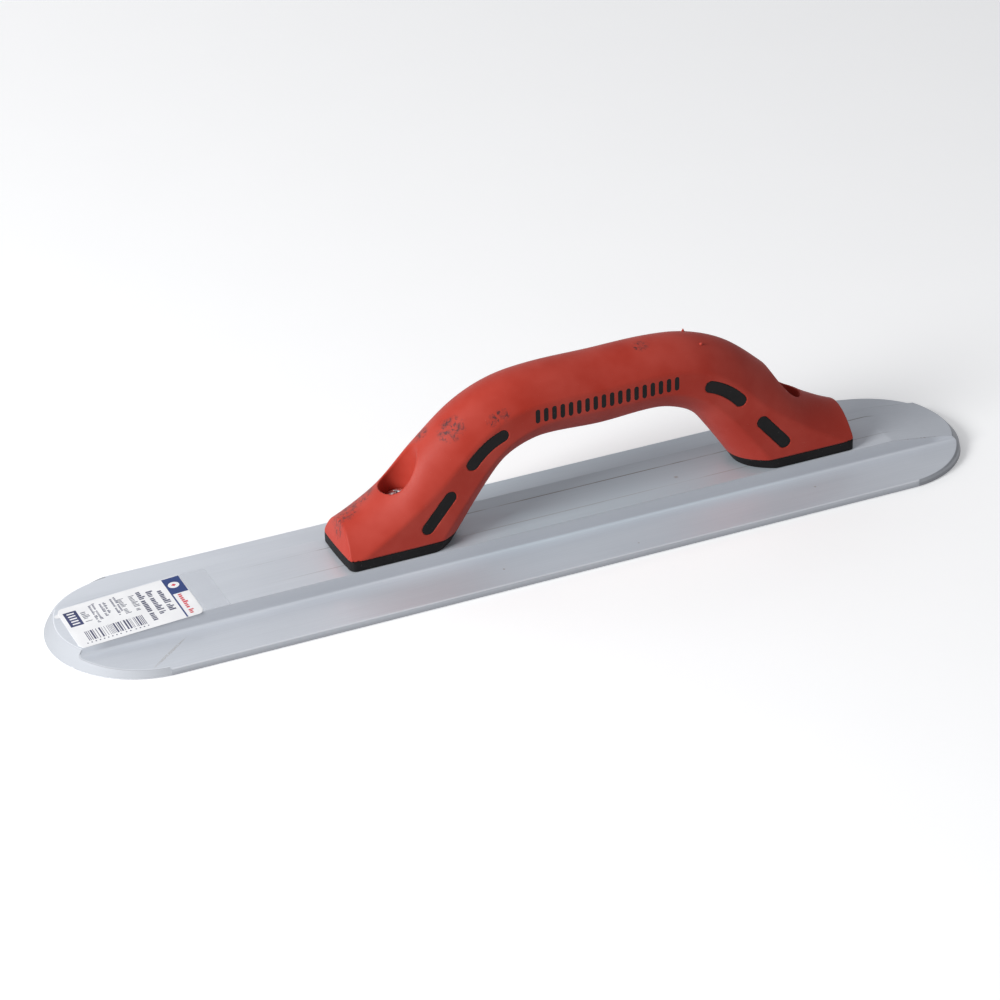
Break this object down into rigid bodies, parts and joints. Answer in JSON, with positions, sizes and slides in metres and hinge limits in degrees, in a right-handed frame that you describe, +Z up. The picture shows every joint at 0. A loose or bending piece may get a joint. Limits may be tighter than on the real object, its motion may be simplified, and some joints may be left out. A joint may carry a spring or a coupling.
{
  "type": "magnesium hand float",
  "caption": "Concrete hand float: a long ribbed blade with round ends, and an arched soft-grip handle screwed on behind the middle.",
  "frame": {"origin": "middle of the blade's flat sole, on the surface that the float rests on", "axes": "+X along the blade towards the end nearer the handle, +Z up from the sole"},
  "size_m": [0.4064, 0.0794, 0.0766],
  "materials": {
    "blade": "satin extruded magnesium, fine lengthwise die lines",
    "core": "matte black moulded plastic",
    "grip": "soft matte brick-red moulded grip with light scuffs",
    "fastener": "zinc-plated steel",
    "label": "semi-gloss printed label",
    "film": "thin clear carrier film"
  },
  "bodies": {
    "root": {"blade": "blade", "handle_core": "core", "handle_grip": "grip", "front_washer": "fastener", "rear_washer": "fastener", "front_screw": "fastener", "rear_screw": "fastener", "label": "label", "label_film": "film"}
  },
  "joints": []
}
